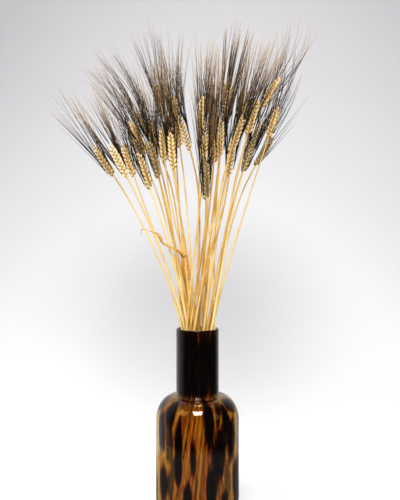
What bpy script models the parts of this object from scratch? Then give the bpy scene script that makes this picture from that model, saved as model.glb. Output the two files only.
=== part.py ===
"""Bearded wheat ears on dry straws, standing in a tall bottle vase of tortoiseshell glass.

Z is up. The origin is the centre of the vase's flat base. The front of the bunch faces -Y. Lengths are in
metres. The vase is a turned shell. Each straw is one grown piece with its ear: the straw, the spikelets that
grow in two rows up its end, and one long awn on each spikelet, extruded from one another as one solid.
"""

import math
import random

import bmesh
import bpy
import numpy as np
from mathutils import Vector

MM = 0.001

# The vase: a flat base, a straight body, a round shoulder and a straight neck.
VASE_HEIGHT = 300 * MM
BODY_RADIUS = 66 * MM
NECK_RADIUS = 34 * MM
SHOULDER_TOP = 192 * MM
SHOULDER_DROP = 38 * MM
BASE_CORNER = (20 * MM, 36 * MM)
GLASS = 3.6 * MM
FLOOR = 7 * MM
ROOT_FILLET = 3 * MM
VASE_STEPS = 32

# The straws. Each has a square-cut foot on the vase's floor and four sides.
FOOT_STRAW = 1.9 * MM
NECK_STRAW = 1.35 * MM
STRAW_RINGS = 7
CLEAR = 0.4 * MM
FOOT_GAP = 0.3 * MM
AWN_GAP = 0.2 * MM
MOUTH_SPREAD = 27.5 * MM
FLOOR_SPREAD = 46 * MM
MOUTH_SLOTS = 70
FLOOR_SLOTS = 90
MOUTH_CHOICE = 36
FLOOR_CHOICE = 24
MOUTH_SHARE = 0.21
FLOOR_SHARE = (-1.9, -0.06)
TWIST = math.radians(60)
STEPS = (0, 5, -5, 10, -10, 15, -15, 20, -20, 25, 30)
BOW = 0.85
LEAN_ON_RIM = 0.35

# The ears: a rachis with a spikelet on every joint, left and right in turn, and one on its end.
EAR_LENGTH = 58 * MM
EAR_GIRTH = 6.6 * MM
SPIKELETS = 12
JOINT_RISE = 3.85 * MM
RACHIS = 0.9 * MM
SPIKELET_LENGTH = 12 * MM
SPIKELET_WIDTH = 1.4 * MM
SPIKELET_DEPTH = 2.7 * MM
SPIKELET_TILT = math.radians(24)
BELLY = 0.42
TAPER = 0.3

# The awns, which are four-sided needles from each spikelet's tip.
AWN_LENGTH = 138 * MM
AWN_ROOT = 0.3 * MM
AWN_SPREAD = (math.radians(6.3), math.radians(9.5))
AWN_SWING = math.radians(7)
AWN_TRIES = 90
AWN_SHORTEST = 0.84
AWN_TOP_LOSS = 0.16
AWN_TRY_LOSS = 0.4
BARE_POINT = 0.15

# The dried leaf that one straw still bears: its root's height, and its points across, back and up, each with
# its half width, in millimetres. The third point is the knot where it is folded.
LEAF_STRAW = 9
LEAF_ROOT = 413 * MM
LEAF_JOINT = 3 * MM
LEAF_THICKNESS = 0.9 * MM
LEAF = (
    (-30, -42, 424, 1.2), (-52, -54, 435.5, 0.8), (-56.5, -56, 444.6, 1.7), (-71.5, -56, 453.6, 0.8),
    (-84, -52, 456, 0.7), (-85, -50, 447.6, 0.6),
)

# Where each ear grows from its straw, in millimetres: across, back and up, with the ear's lean to the right
# in degrees. The left fan, the right fan and the ears behind them are listed from the outside in.
EARS = (
    (-129, -15, 538, -34), (-105, -45, 532, -28), (-99, -5, 537, -19), (-76, -30, 571, -30),
    (-69, -60, 512, -19), (-58, -35, 531, -15), (-63, 15, 584, -28), (-66, 0, 569, -8),
    (-50, -20, 558, -5), (-34, -55, 541, -6), (-35, -10, 607, -2), (-28, 20, 588, -9),
    (-10, -25, 576, -18),
    (113, 15, 601, 18), (98, -20, 643, 30), (93, 25, 560, 31), (75, -45, 596, 15),
    (70, -20, 542, 18), (61, -15, 598, 17), (48, -60, 566, 18), (48, -35, 534, 6),
    (44, -5, 624, 10), (34, -45, 562, 2), (25, -20, 555, 4), (22, 5, 592, 2),
    (13, -70, 495, -1), (8, -50, 542, 4), (6, -25, 604, 3),
    (-88, 50, 568, -27), (-79, 45, 609, -24), (-56, 35, 644, -12), (-46, 65, 600, -7),
    (90, 60, 595, 22), (69, 55, 640, 14), (42, 40, 650, 7), (12, 80, 585, 2),
)


def vase_profile():
    """The wall's section, as (radius, height) from the base's centre up the outside and down the inside."""
    corner_r, corner_h = BASE_CORNER
    lip = GLASS / 2
    outside = [(0, 0)]
    for k in range(6):
        turn = math.radians(18 * k)
        outside.append((BODY_RADIUS - corner_r * (1 - math.sin(turn)), corner_h * (1 - math.cos(turn))))
    shoulder_r = BODY_RADIUS - NECK_RADIUS - ROOT_FILLET
    for k in range(7):
        turn = math.radians(15 * k)
        outside.append((BODY_RADIUS - shoulder_r * (1 - math.cos(turn)),
                        SHOULDER_TOP - SHOULDER_DROP * (1 - math.sin(turn))))
    outside.append((NECK_RADIUS, SHOULDER_TOP + ROOT_FILLET))
    outside.append((NECK_RADIUS, VASE_HEIGHT - lip))
    top = [(NECK_RADIUS - 0.3 * lip, VASE_HEIGHT - 0.3 * lip),
           (NECK_RADIUS - lip, VASE_HEIGHT),
           (NECK_RADIUS - 1.7 * lip, VASE_HEIGHT - 0.3 * lip)]
    inside = []
    for k, (r, h) in enumerate(outside[2:], 2):
        before, after = outside[k - 1], outside[min(k + 1, len(outside) - 1)]
        run, rise = after[0] - before[0], after[1] - before[1]
        size = math.hypot(run, rise)
        inside.append((r - GLASS * rise / size, h + GLASS * run / size))
    inside = [(r, max(h, FLOOR)) for r, h in inside if h > FLOOR / 2]
    inside.insert(0, (0, FLOOR))
    return outside + top + inside[::-1]


def vase_inner_radius(height):
    """The radius that is free inside the vase at a height, in its neck and its body."""
    return (NECK_RADIUS if height > SHOULDER_TOP - 0.4 * SHOULDER_DROP else BODY_RADIUS) - GLASS


def gap_to_all(start, end, starts, ends):
    """The distance from one straight piece to each of many."""
    along, alongs = end - start, ends - starts
    between = start - starts
    a, e = along @ along, np.einsum("ij,ij->i", alongs, alongs)
    b, c, f = alongs @ along, between @ along, np.einsum("ij,ij->i", alongs, between)
    free = a * e - b * b
    s = np.clip(np.where(free > 1e-16, (b * f - c * e) / np.maximum(free, 1e-16), 0), 0, 1)
    t = np.clip((b * s + f) / e, 0, 1)
    s = np.clip((b * t - c) / a, 0, 1)
    return np.linalg.norm(between + s[:, None] * along - t[:, None] * alongs, axis=1)


class Placed:
    """Everything set in so far, as straight round pieces."""

    def __init__(self):
        self.starts = np.zeros((0, 3))
        self.ends = np.zeros((0, 3))
        self.radii = np.zeros(0)

    def add(self, points, radii):
        """Adds a bent piece. Each stretch of it counts as thick as its thicker end."""
        self.starts = np.vstack([self.starts, points[:-1]])
        self.ends = np.vstack([self.ends, points[1:]])
        self.radii = np.append(self.radii, np.maximum(radii[:-1], radii[1:]))

    def clear_of(self, points, radii):
        """The smallest free gap round a bent round piece."""
        if not len(self.radii):
            return math.inf
        return min(
            (gap_to_all(points[k], points[k + 1], self.starts, self.ends) - self.radii).min()
            - max(radii[k], radii[k + 1])
            for k in range(len(points) - 1)
        )


def spiral_slots(count, spread):
    """Points spread evenly over a disc."""
    golden = math.pi * (3 - math.sqrt(5))
    slots = []
    for k in range(count):
        reach = spread * math.sqrt((k + 0.5) / count)
        slots.append((reach * math.cos(golden * k), reach * math.sin(golden * k)))
    return slots


def ear_direction(neck, lean):
    """The ear leans sideways as listed, and forwards or back as its place in the bunch does."""
    pitch = 0.8 * math.atan2(neck[1], neck[2] - 0.75 * VASE_HEIGHT)
    way = np.array([math.tan(lean), math.tan(pitch), 1.0])
    return way / np.linalg.norm(way)


def straw_route(foot, mouth, neck, way):
    """Straight from the vase's floor to its mouth, then bowed over to meet the ear."""
    inside = mouth - foot
    reach = np.linalg.norm(neck - mouth)
    start_way = (1 - LEAN_ON_RIM) * inside / np.linalg.norm(inside) + LEAN_ON_RIM * (neck - mouth) / reach
    reach *= BOW
    t = np.linspace(0, 1, STRAW_RINGS)[:, None]
    curve = ((2 * t**3 - 3 * t**2 + 1) * mouth + (t**3 - 2 * t**2 + t) * reach * start_way
             + (3 * t**2 - 2 * t**3) * neck + (t**3 - t**2) * reach * way)
    return np.vstack([foot, curve])


def straw_radii(route):
    """The straw thins evenly from its foot to its ear."""
    run = np.append(0, np.cumsum(np.linalg.norm(np.diff(route, axis=0), axis=1)))
    return FOOT_STRAW + (NECK_STRAW - FOOT_STRAW) * run / run[-1]


def nearest(slots, place, count):
    """The slots nearest to a place, the nearest first."""
    return sorted(slots, key=lambda slot: math.dist(slot, place))[:count]


def set_in(neck, lean, placed, mouth_slots, floor_slots):
    """The places in the mouth and on the floor, near the natural ones, where the straw and its ear are clear.

    Every straw crosses the bunch's middle in the vase's neck, turned a little to one side, so that they pass.
    """
    way = ear_direction(neck, lean)
    ear = np.array([neck, neck + EAR_LENGTH * way])
    for mouth_slot in nearest(mouth_slots, MOUTH_SHARE * neck[:2], MOUTH_CHOICE):
        mouth = np.array([*mouth_slot, VASE_HEIGHT])
        x, y = FLOOR_SHARE[0] * mouth[:2] + FLOOR_SHARE[1] * neck[:2]
        wanted = (x * math.cos(TWIST) - y * math.sin(TWIST), x * math.sin(TWIST) + y * math.cos(TWIST))
        for floor_slot in nearest(floor_slots, wanted, FLOOR_CHOICE):
            foot = np.array([*floor_slot, FLOOR + FOOT_GAP])
            if not inside_neck(foot, mouth):
                continue
            route = straw_route(foot, mouth, neck, way)
            if placed.clear_of(route, straw_radii(route)) < CLEAR:
                continue
            if placed.clear_of(ear, (EAR_GIRTH, EAR_GIRTH)) < CLEAR:
                continue
            mouth_slots.remove(mouth_slot)
            floor_slots.remove(floor_slot)
            return route, way
    return None


def inside_neck(foot, mouth):
    """Whether a straight straw from the floor to the mouth stays clear of the neck's wall."""
    for height in (SHOULDER_TOP, SHOULDER_TOP - 0.35 * SHOULDER_DROP, VASE_HEIGHT):
        share = (height - foot[2]) / (mouth[2] - foot[2])
        at = foot + share * (mouth - foot)
        if math.hypot(at[0], at[1]) > vase_inner_radius(height) - FOOT_STRAW - CLEAR:
            return False
    return True


def plan_straws():
    """Sets the straws in one by one. One that would touch those before it steps back or forward."""
    placed = Placed()
    mouth_slots = spiral_slots(MOUTH_SLOTS, MOUTH_SPREAD)
    floor_slots = spiral_slots(FLOOR_SLOTS, FLOOR_SPREAD)
    straws = []
    for number, (across, back, up, lean) in enumerate(EARS):
        found = None
        for step in STEPS:
            neck = np.array([across, back + step, up]) * MM
            found = set_in(neck, math.radians(lean), placed, mouth_slots, floor_slots)
            if found:
                break
        if not found:
            continue
        route, way = found
        placed.add(route, straw_radii(route))
        placed.add(np.array([neck, neck + EAR_LENGTH * way]), (EAR_GIRTH, EAR_GIRTH))
        straws.append((number, route, way))
    return straws


def ear_axes(way, number):
    """The ear's two cross directions: along its two rows of spikelets, and out of its broad face."""
    draw = random.Random(100 + number)
    facing = math.radians(draw.uniform(-40, 40))
    front = np.array([math.sin(facing), -math.cos(facing), 0.0])
    row = np.cross(front, way)
    row /= np.linalg.norm(row)
    return row, np.cross(way, row)


def spikelet_plan(neck, way, row, number):
    """A spikelet's root on the rachis, the way that it points and its size beside the largest."""
    if number == SPIKELETS:
        return neck + SPIKELETS * JOINT_RISE * way, way, 1 - TAPER
    side = 1 if number % 2 else -1
    root = neck + (number + 0.5) * JOINT_RISE * way + side * RACHIS * row
    out = math.cos(SPIKELET_TILT) * way + side * math.sin(SPIKELET_TILT) * row
    return root, out, 1 - TAPER * (number / SPIKELETS)**2


def awn_tip(top, way, row, face, number, clear, draw):
    """The awn's tip. It is drawn again, shorter each time, until the awn is clear of all else."""
    side = 1 if number % 2 else -1
    least, most = AWN_SPREAD if number < SPIKELETS - 2 else (0, AWN_SPREAD[0])
    for attempt in range(AWN_TRIES):
        spread = side * draw.uniform(least, most)
        swing = draw.uniform(-AWN_SWING, AWN_SWING)
        out = way + math.tan(spread) * row + math.tan(swing) * face
        length = AWN_LENGTH * draw.uniform(AWN_SHORTEST, 1)
        length *= (1 - AWN_TOP_LOSS * number / SPIKELETS) * (1 - AWN_TRY_LOSS * attempt / AWN_TRIES)
        tip = top + length * out / np.linalg.norm(out)
        if all(things.clear_of(np.array([top, tip]), (AWN_ROOT, AWN_ROOT)) > gap for things, gap in clear):
            return tip
    return None


def plan_awns(straws):
    """The tip of every awn that has room. All ears get their top awns first, so that none is crowded out."""
    others = [Placed() for _ in straws]
    for k, (_, route, way) in enumerate(straws):
        for other in others[:k] + others[k + 1:]:
            other.add(route, straw_radii(route))
            other.add(np.array([route[-1], route[-1] + EAR_LENGTH * way]), (EAR_GIRTH, EAR_GIRTH))
    own = [Placed() for _ in straws]
    tips = {}
    for spikelet in range(SPIKELETS, -1, -1):
        for k, (number, route, way) in enumerate(straws):
            draw = random.Random(1000 * number + spikelet)
            row, face = ear_axes(way, number)
            root, out, size = spikelet_plan(route[-1], way, row, spikelet)
            top = root + size * SPIKELET_LENGTH * out
            clear = ((others[k], CLEAR), (own[k], AWN_GAP))
            tip = awn_tip(top, way, row, face, spikelet, clear, draw)
            if tip is None:
                continue
            tips[number, spikelet] = tip
            for things in others[:k] + others[k + 1:] + [own[k]]:
                things.add(np.array([top, tip]), (AWN_ROOT, AWN_ROOT))
    return tips


def corner_signs(face, across, along):
    """Which side of the face's middle each of its corners is on, in two directions."""
    middle = face.calc_center_median()
    return [(math.copysign(1, (v.co - middle).dot(across)), math.copysign(1, (v.co - middle).dot(along)))
            for v in face.verts]


def set_corners(verts, signs, middle, across, along):
    """Sets the corners of a four-sided section about its middle. The two directions carry its half sizes."""
    for vert, (a, b) in zip(verts, signs):
        vert.co = middle + a * across + b * along


def extrude(shape, face, signs, middle, across, along):
    """Extrudes the face to a new section and gives the face at its end."""
    end = bmesh.ops.extrude_discrete_faces(shape, faces=[face])["faces"][0]
    set_corners(end.verts, signs, middle, across, along)
    return end


def side_of(end, way):
    """Of the four sides below an end face, the one that looks most in a direction."""
    sides = [f for edge in end.edges for f in edge.link_faces if f is not end]
    return max(sides, key=lambda f: f.calc_center_median().dot(way))


def straw_section(route, ring, row, radius):
    """The straw's two half sizes at a ring, square to its run. The foot is cut level."""
    run = Vector(route[min(ring + 1, len(route) - 1)] - route[ring - 1]) if ring else Vector((0, 0, 1))
    across = (row - row.project(run)).normalized()
    half = float(radius) / math.sqrt(2)
    return half * across, half * run.normalized().cross(across)


def grow_spikelet(shape, root_face, root, out, size, across, tip):
    """A spikelet swells from a side of the rachis, narrows, and runs out in its awn, or in a short point."""
    along = out.cross(across)
    signs = corner_signs(root_face, across, along)
    belly = root + BELLY * size * SPIKELET_LENGTH * out
    top = root + size * SPIKELET_LENGTH * out
    half_depth, half_width = size * SPIKELET_DEPTH, size * SPIKELET_WIDTH
    end = extrude(shape, root_face, signs, belly, half_depth * across, half_width * along)
    half = AWN_ROOT / math.sqrt(2)
    end = extrude(shape, end, signs, top, half * across, half * along)
    if tip is None:
        tip = top + BARE_POINT * SPIKELET_LENGTH * out
    end = extrude(shape, end, signs, Vector(tip), half * across, half * along)
    bmesh.ops.pointmerge(shape, verts=end.verts, merge_co=Vector(tip))


def with_leaf_joint(route):
    """The straw's route with two rings more, below and above the leaf's root, and the upper one's number."""
    after = int(np.searchsorted(route[:, 2], LEAF_ROOT))
    low, high = route[after - 1], route[after]
    added = [low + (height - low[2]) / (high[2] - low[2]) * (high - low)
             for height in (LEAF_ROOT - LEAF_JOINT, LEAF_ROOT + LEAF_JOINT)]
    return np.insert(route, after, added, axis=0), after + 1


def grow_leaf(shape, root_face):
    """The dried leaf, rolled thin, grows out of its straw's left side and hangs in front of the others."""
    front = Vector((0, -1, 0))
    root_face.normal_update()
    before, run, end, signs = root_face.calc_center_median(), root_face.normal.copy(), root_face, None
    points = [Vector(point[:3]) * MM for point in LEAF]
    for k, point in enumerate(points):
        side = (front - front.project(run)).normalized()
        signs = signs or corner_signs(root_face, side, side.cross(run))
        run = (points[min(k + 1, len(points) - 1)] - before).normalized()
        side = (front - front.project(run)).normalized()
        half_width = LEAF[k][3] * MM
        end = extrude(shape, end, signs, point, 0.5 * LEAF_THICKNESS * side, half_width * side.cross(run))
        before = point


def make_stalk(number, route, way, tips, paint, bunch):
    """One straw and its ear, grown from a box by extruding its faces along the straw and out to each awn."""
    row, face = (Vector(axis) for axis in ear_axes(way, number))
    leaf_ring, leaf_root = None, None
    if number == LEAF_STRAW:
        route, leaf_ring = with_leaf_joint(route)
    radii = straw_radii(route)
    shape = bmesh.new()
    bmesh.ops.create_cube(shape, size=2)
    ends = [[v for v in shape.verts if v.co.z < 0], [v for v in shape.verts if v.co.z > 0]]
    for ring, verts in enumerate(ends):
        signs = [(v.co.x, v.co.y) for v in verts]
        set_corners(verts, signs, Vector(route[ring]), *straw_section(route, ring, row, radii[ring]))
    end = next(f for f in shape.faces if all(v in ends[1] for v in f.verts))
    signs = corner_signs(end, row, face)
    for ring in range(2, len(route)):
        end = extrude(shape, end, signs, Vector(route[ring]), *straw_section(route, ring, row, radii[ring]))
        if ring == leaf_ring:
            leaf_root = side_of(end, Vector((-1, 0, 0)))
    joints = []
    for joint in range(1, SPIKELETS + 1):
        middle = Vector(route[-1] + joint * JOINT_RISE * way)
        end = extrude(shape, end, signs, middle, RACHIS * row, RACHIS * face)
        joints.append(side_of(end, row if (joint - 1) % 2 else -row))
    joints.append(end)
    for spikelet, root_face in enumerate(joints):
        root, out, size = spikelet_plan(route[-1], way, np.array(row), spikelet)
        grow_spikelet(shape, root_face, Vector(root), Vector(out), size, face, tips.get((number, spikelet)))
    if leaf_root:
        grow_leaf(shape, leaf_root)
    mesh = bpy.data.meshes.new(f"wheat_{number + 1:02d}")
    shape.to_mesh(mesh)
    shape.free()
    mesh.materials.append(paint)
    stalk = bpy.data.objects.new(mesh.name, mesh)
    bunch.objects.link(stalk)
    return stalk


def make_vase(paint, bunch):
    """The vase, turned from its profile."""
    profile = bpy.data.meshes.new("vase")
    points = vase_profile()[::-1]
    profile.from_pydata([(r, 0, h) for r, h in points], [(k, k + 1) for k in range(len(points) - 1)], [])
    profile.materials.append(paint)
    vase = bpy.data.objects.new("vase", profile)
    bunch.objects.link(vase)
    turn = vase.modifiers.new("turned", "SCREW")
    turn.steps = turn.render_steps = VASE_STEPS
    turn.use_merge_vertices = True
    turn.merge_threshold = 0.01 * MM
    turn.use_smooth_shade = True
    return vase


def material(name, colour, roughness, alpha=1.0):
    """A plain finish."""
    made = bpy.data.materials.new(name)
    made.use_nodes = True
    shader = made.node_tree.nodes["Principled BSDF"]
    shader.inputs["Base Color"].default_value = (*colour, 1)
    shader.inputs["Roughness"].default_value = roughness
    shader.inputs["Metallic"].default_value = 0
    shader.inputs["Alpha"].default_value = alpha
    return made


def main():
    """Clears the scene and makes the vase and every straw that has room in it."""
    for thing in list(bpy.data.objects):
        bpy.data.objects.remove(thing)
    bunch = bpy.data.collections.new("wheat_ears_in_vase")
    bpy.context.scene.collection.children.link(bunch)

    make_vase(material("tortoiseshell_glass", (0.17, 0.07, 0.02), 0.08), bunch)
    straws = plan_straws()
    tips = plan_awns(straws)
    dry_wheat = material("dry_wheat", (0.52, 0.34, 0.11), 0.7)
    for number, route, way in straws:
        make_stalk(number, route, way, tips, dry_wheat, bunch)


main()
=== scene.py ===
import math
import random

import bpy
import numpy as np
from mathutils import Matrix, Vector


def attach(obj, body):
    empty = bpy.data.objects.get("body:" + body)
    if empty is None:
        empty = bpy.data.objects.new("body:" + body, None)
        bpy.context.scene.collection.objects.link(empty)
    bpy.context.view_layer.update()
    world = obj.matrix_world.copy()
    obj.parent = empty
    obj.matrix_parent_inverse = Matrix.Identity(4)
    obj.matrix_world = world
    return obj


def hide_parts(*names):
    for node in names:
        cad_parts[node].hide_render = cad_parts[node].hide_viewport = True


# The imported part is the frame: 36 stalks of bearded wheat and the bottle vase that holds them.
# Every stalk and the vase get finer pieces here, which keep the form of the solid they replace.
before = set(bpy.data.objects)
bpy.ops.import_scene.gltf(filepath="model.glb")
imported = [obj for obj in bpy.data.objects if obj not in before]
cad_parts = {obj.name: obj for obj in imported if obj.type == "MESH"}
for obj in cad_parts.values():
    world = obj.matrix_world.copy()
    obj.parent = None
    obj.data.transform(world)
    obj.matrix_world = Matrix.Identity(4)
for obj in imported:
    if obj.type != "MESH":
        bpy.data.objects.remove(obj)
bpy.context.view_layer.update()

MM = 0.001


# Camera
# It stands level with the middle of the stalks, just under a metre in front of the vase.
CAMERA_PLACE = (0.004, -0.95, 0.425)
LENS = 42.8


def add_object(name, data):
    """Adds an object to the scene and returns it."""
    thing = bpy.data.objects.new(name, data)
    bpy.context.scene.collection.objects.link(thing)
    return thing


camera = add_object("camera", bpy.data.cameras.new("camera"))
camera.data.lens = LENS
camera.data.clip_start = 0.05
camera.data.clip_end = 20
camera.location = CAMERA_PLACE
camera.rotation_euler = (math.radians(90), 0, 0)
bpy.context.scene.camera = camera
bpy.context.scene.view_settings.view_transform = "Standard"


# Studio sweep
# A sheet of matt paper is the floor, with a round front, and bends up behind the vase into the wall.
# It is near white low down and falls off to a lilac grey in its upper corners, a painted falloff of the
# light, and a painted soft shadow of the stalks and vase lies on it behind the straws.
SWEEP_HALF_WIDTH = 2.8
FLOOR_FRONT = 0.43
FRONT_STEPS = 48
SWEEP_BACK = 2.5
SWEEP_BEND = 1.9
SWEEP_TOP = 4.0
BEND_STEPS = 24
# The painted light falloff: its middle, and its reach along each axis.
PAINTED_FALLOFF_MIDDLE = (0.15, 0, 0.1)
PAINTED_FALLOFF_REACH = (2.1, 100, 2.1)
# The painted shadow behind the stalks: its middle, its reach along each axis and how much it darkens.
PAINTED_SHADOW_MIDDLE = (-0.08, 1.95, 0.05)
PAINTED_SHADOW_REACH = (0.8, 1.65, 0.7)
PAINTED_SHADOW_DEPTH = 0.38


def linear(hex_colour):
    """Turns an sRGB hex value to the linear colour that a socket takes."""
    parts = [int(hex_colour[k:k + 2], 16) / 255 for k in (1, 3, 5)]
    return [part / 12.92 if part <= 0.04045 else ((part + 0.055) / 1.055) ** 2.4 for part in parts] + [1]


def add(tree, kind, inputs=(), stops=(), **settings):
    """Adds a node with its settings, its inputs as values or other nodes' outputs, and its ramp's stops."""
    node = tree.nodes.new(kind)
    for name, value in settings.items():
        setattr(node, name, value)
    for name, value in dict(inputs).items():
        if isinstance(value, bpy.types.NodeSocket):
            tree.links.new(value, node.inputs[name])
        else:
            node.inputs[name].default_value = value
    for k, (place, colour) in enumerate(stops):
        element = node.color_ramp.elements[k] if k < 2 else node.color_ramp.elements.new(1)
        element.position = place
        element.color = linear(colour)
    return node


def new_finish(name):
    """Returns a new material, its tree and its surface shader."""
    finish = bpy.data.materials.new(name)
    finish.use_nodes = True
    return finish, finish.node_tree, finish.node_tree.nodes["Principled BSDF"]


def oval_distance(tree, place, middle, reach):
    """How far a place lies from a middle, counted in an oval's reach along each axis."""
    off = add(tree, "ShaderNodeVectorMath", {0: place, 1: middle}, operation="SUBTRACT").outputs[0]
    share = add(tree, "ShaderNodeVectorMath", {0: off, 1: reach}, operation="DIVIDE").outputs[0]
    return add(tree, "ShaderNodeVectorMath", {0: share}, operation="LENGTH").outputs["Value"]


# Matt studio paper: uncoated pulp, which scatters light evenly and has next to no gloss.
paper, tree, surface = new_finish("matt_studio_paper")
place = add(tree, "ShaderNodeTexCoord").outputs["Object"]
distance = oval_distance(tree, place, PAINTED_FALLOFF_MIDDLE, PAINTED_FALLOFF_REACH)
# Painted light falloff: the paper's colour turns greyer with distance from a middle, towards the corners.
shade = add(tree, "ShaderNodeValToRGB", {0: distance}, stops=(
    (0.0, "#d2d1d2"), (0.28, "#e3e2e3"), (0.61, "#dfdedf"), (0.82, "#d8d6d8"), (1.0, "#cdcbcd"))).outputs[0]
# Painted shadow: the colour is darkened in a soft oval behind the stalks, where their shadow would fall.
distance = oval_distance(tree, place, PAINTED_SHADOW_MIDDLE, PAINTED_SHADOW_REACH)
light = add(tree, "ShaderNodeMapRange", {"Value": distance, "To Min": 1 - PAINTED_SHADOW_DEPTH, "To Max": 1.0},
            interpolation_type="SMOOTHSTEP").outputs[0]
shade = add(tree, "ShaderNodeVectorMath", {0: shade, "Scale": light}, operation="SCALE").outputs[0]
tree.links.new(shade, surface.inputs["Base Color"])
surface.inputs["Roughness"].default_value = 0.9
surface.inputs["Specular IOR Level"].default_value = 0.1

section = [(0, 0)]
for k in range(BEND_STEPS + 1):
    turn = math.pi / 2 * k / BEND_STEPS
    section.append((SWEEP_BACK - SWEEP_BEND * (1 - math.sin(turn)), SWEEP_BEND * (1 - math.cos(turn))))
section.append((SWEEP_BACK, SWEEP_TOP))
corners = []
for y, z in section:
    half_width = FLOOR_FRONT + (SWEEP_HALF_WIDTH - FLOOR_FRONT) * y / SWEEP_BACK
    corners += [(-half_width, y, z), (half_width, y, z)]
strips = [(2 * k, 2 * k + 1, 2 * k + 3, 2 * k + 2) for k in range(len(section) - 1)]
first = len(corners)
corners += [(-FLOOR_FRONT * math.cos(turn), -FLOOR_FRONT * math.sin(turn), 0)
            for turn in (math.pi * k / FRONT_STEPS for k in range(1, FRONT_STEPS))]
strips.append((0, *range(first, len(corners)), 1))
sweep_mesh = bpy.data.meshes.new("studio_sweep")
sweep_mesh.from_pydata(corners, [], strips)
sweep_mesh.materials.append(paper)
sweep_mesh.shade_smooth()
sweep = add_object("studio_sweep", sweep_mesh)
sweep.visible_glossy = False


# Light
# Soft daylight comes from all round. Softboxes on the left, on the right and over the wall shape it, and
# a lamp and three narrow panes overhead draw their bright marks on the vase's shoulder. The glass mirrors
# a dim room of its own, brighter behind and to the left, with a level edge where its floor begins.
SKY = "#f8f8fa"
SKY_STRENGTH = 0.62
SKY_IN_VIEW = 0.85
GLOSS_ABOVE = 0.045
GLOSS_BEHIND = 0.75
GLOSS_WAY = (-0.35, 1, 0)
GLOSS_REACH = 0.9
GLOSS_BELOW = 0.2
GLOSS_EDGE = math.sin(math.radians(-18.9))
GLOSS_EDGE_BLUR = 0.006
# Each softbox: its name, place, target, width and height, and watts.
SOFTBOXES = (
    ("softbox_left", (-1.2, -0.9, 1.6), (0, 0, 0.5), (0.9, 0.9), 21),
    ("softbox_right", (1.3, -1.0, 1.0), (0, 0, 0.5), (0.8, 0.8), 6),
    ("wall_wash", (0.2, 0.3, 2.6), (0.1, 2.3, 0.3), (2.4, 0.6), 24),
)
LAMP_HEIGHT = 1.35
# Each lamp overhead: its name, how far behind the vase it hangs, its width, its length and its glow.
LAMPS = (
    ("lamp_front", -1.12, 0.6, 0.7, 20),
    ("pane_1", 0.06, 0.24, 0.12, 22),
    ("pane_2", 0.42, 0.22, 0.13, 20),
    ("pane_3", 0.9, 0.18, 0.18, 16),
)

world = bpy.data.worlds.new("sky")
world.use_nodes = True
tree = world.node_tree
background = tree.nodes["Background"]
ray = add(tree, "ShaderNodeLightPath")
way = add(tree, "ShaderNodeTexCoord").outputs["Generated"]
rise = add(tree, "ShaderNodeSeparateXYZ", {0: way}).outputs[2]
toward = add(tree, "ShaderNodeVectorMath", {0: way, 1: GLOSS_WAY}, operation="DOT_PRODUCT").outputs["Value"]
above = add(tree, "ShaderNodeMapRange", {
    "Value": toward, "From Max": GLOSS_REACH, "To Min": GLOSS_ABOVE, "To Max": GLOSS_BEHIND}).outputs[0]
gloss = add(tree, "ShaderNodeMapRange", {
    "Value": rise, "From Min": GLOSS_EDGE - GLOSS_EDGE_BLUR, "From Max": GLOSS_EDGE + GLOSS_EDGE_BLUR,
    "To Min": GLOSS_BELOW, "To Max": above}).outputs[0]
strength = add(tree, "ShaderNodeMapRange", {
    "Value": ray.outputs["Is Glossy Ray"], "To Min": SKY_STRENGTH, "To Max": gloss}).outputs[0]
strength = add(tree, "ShaderNodeMapRange", {
    "Value": ray.outputs["Is Camera Ray"], "To Min": strength, "To Max": SKY_IN_VIEW}).outputs[0]
tree.links.new(strength, background.inputs["Strength"])
background.inputs["Color"].default_value = linear(SKY)
bpy.context.scene.world = world


def add_light(name, place, target, size, power):
    """Adds a rectangular light that faces a target."""
    lamp = bpy.data.lights.new(name, "AREA")
    lamp.shape = "RECTANGLE"
    lamp.size, lamp.size_y = size
    lamp.energy = power
    light = add_object(name, lamp)
    light.location = place
    light.rotation_euler = (Vector(target) - Vector(place)).to_track_quat("-Z", "Y").to_euler()
    return light


for softbox in SOFTBOXES:
    add_light(*softbox).visible_glossy = False
for name, middle, width, length, glow in LAMPS:
    power = glow * math.pi * width * length
    add_light(name, (0, middle, LAMP_HEIGHT), (0, middle, 0), (width, length), power)


# Where each stalk lies
# A stalk's solid is one straw of four sides, an ear on its end and 13 stiff awns. Its straw's middle
# line, its ear's axis and its awns are found on that solid, so that the finer pieces lie in it.
LEAF_STALK = "wheat_10"
LEAF_ROOT = Vector((-19.7, -31.0, 413)) * MM
LEAF_JOINT_REACH = 5 * MM
LEAF_BEYOND_X = -28 * MM
LEAF_HEIGHTS = (420 * MM, 460 * MM)
SOLID_SIDES = 4
STRAW_RINGS = 9
AWN_AT_LEAST = 40 * MM


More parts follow.
